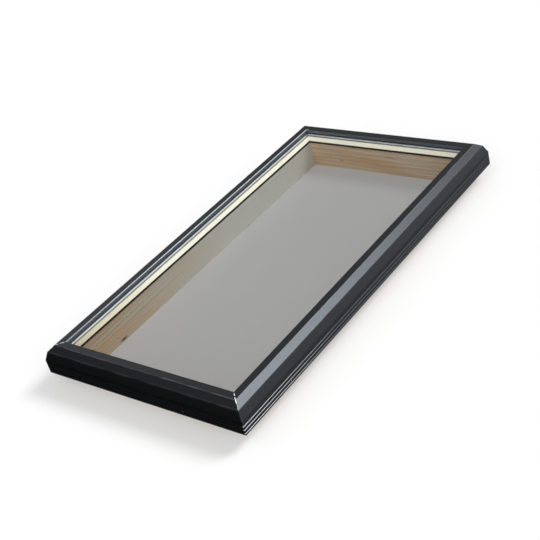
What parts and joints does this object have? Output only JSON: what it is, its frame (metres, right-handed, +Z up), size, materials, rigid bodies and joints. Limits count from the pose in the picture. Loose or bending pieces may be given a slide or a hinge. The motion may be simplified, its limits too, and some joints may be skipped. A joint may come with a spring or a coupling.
{
  "type": "curb mount skylight",
  "caption": "Fixed rectangular skylight: double glass on a pine inner frame under mitred black cladding whose skirt drops over a timber roof curb.",
  "frame": {"origin": "middle of the underside of the pine inner frame", "axes": "+Z up through the glass, +Y along the long sides, +X along the short sides"},
  "size_m": [0.704, 1.304, 0.131],
  "materials": {
    "black_paint": "satin black",
    "black_rubber": "matte",
    "cream_spacer": "satin",
    "pale_silicone": "matte",
    "pine": "clear matte varnish",
    "black_pvc": "matte",
    "grey_foam": "foam",
    "clear_glass": "clear",
    "grey_glass": "grey tint"
  },
  "bodies": {
    "root": {"cladding_front": "black_paint", "cladding_rear": "black_paint", "cladding_left": "black_paint", "cladding_right": "black_paint", "glazing_gasket_front": "black_rubber", "glazing_gasket_rear": "black_rubber", "glazing_gasket_left": "black_rubber", "glazing_gasket_right": "black_rubber", "spacer_front": "cream_spacer", "spacer_rear": "cream_spacer", "spacer_left": "cream_spacer", "spacer_right": "cream_spacer", "butyl_seal_front": "black_rubber", "butyl_seal_rear": "black_rubber", "butyl_seal_left": "black_rubber", "butyl_seal_right": "black_rubber", "edge_sealant_front": "pale_silicone", "edge_sealant_rear": "pale_silicone", "edge_sealant_left": "pale_silicone", "edge_sealant_right": "pale_silicone", "glazing_tape_front": "black_rubber", "glazing_tape_rear": "black_rubber", "glazing_tape_left": "black_rubber", "glazing_tape_right": "black_rubber", "pine_board_front": "pine", "pine_board_rear": "pine", "pine_board_left": "pine", "pine_board_right": "pine", "mounting_web_front": "black_pvc", "mounting_web_rear": "black_pvc", "mounting_web_left": "black_pvc", "mounting_web_right": "black_pvc", "curb_seal_front": "grey_foam", "curb_seal_rear": "grey_foam", "curb_seal_left": "grey_foam", "curb_seal_right": "grey_foam", "upper_pane": "clear_glass", "lower_pane": "grey_glass"}
  },
  "joints": []
}
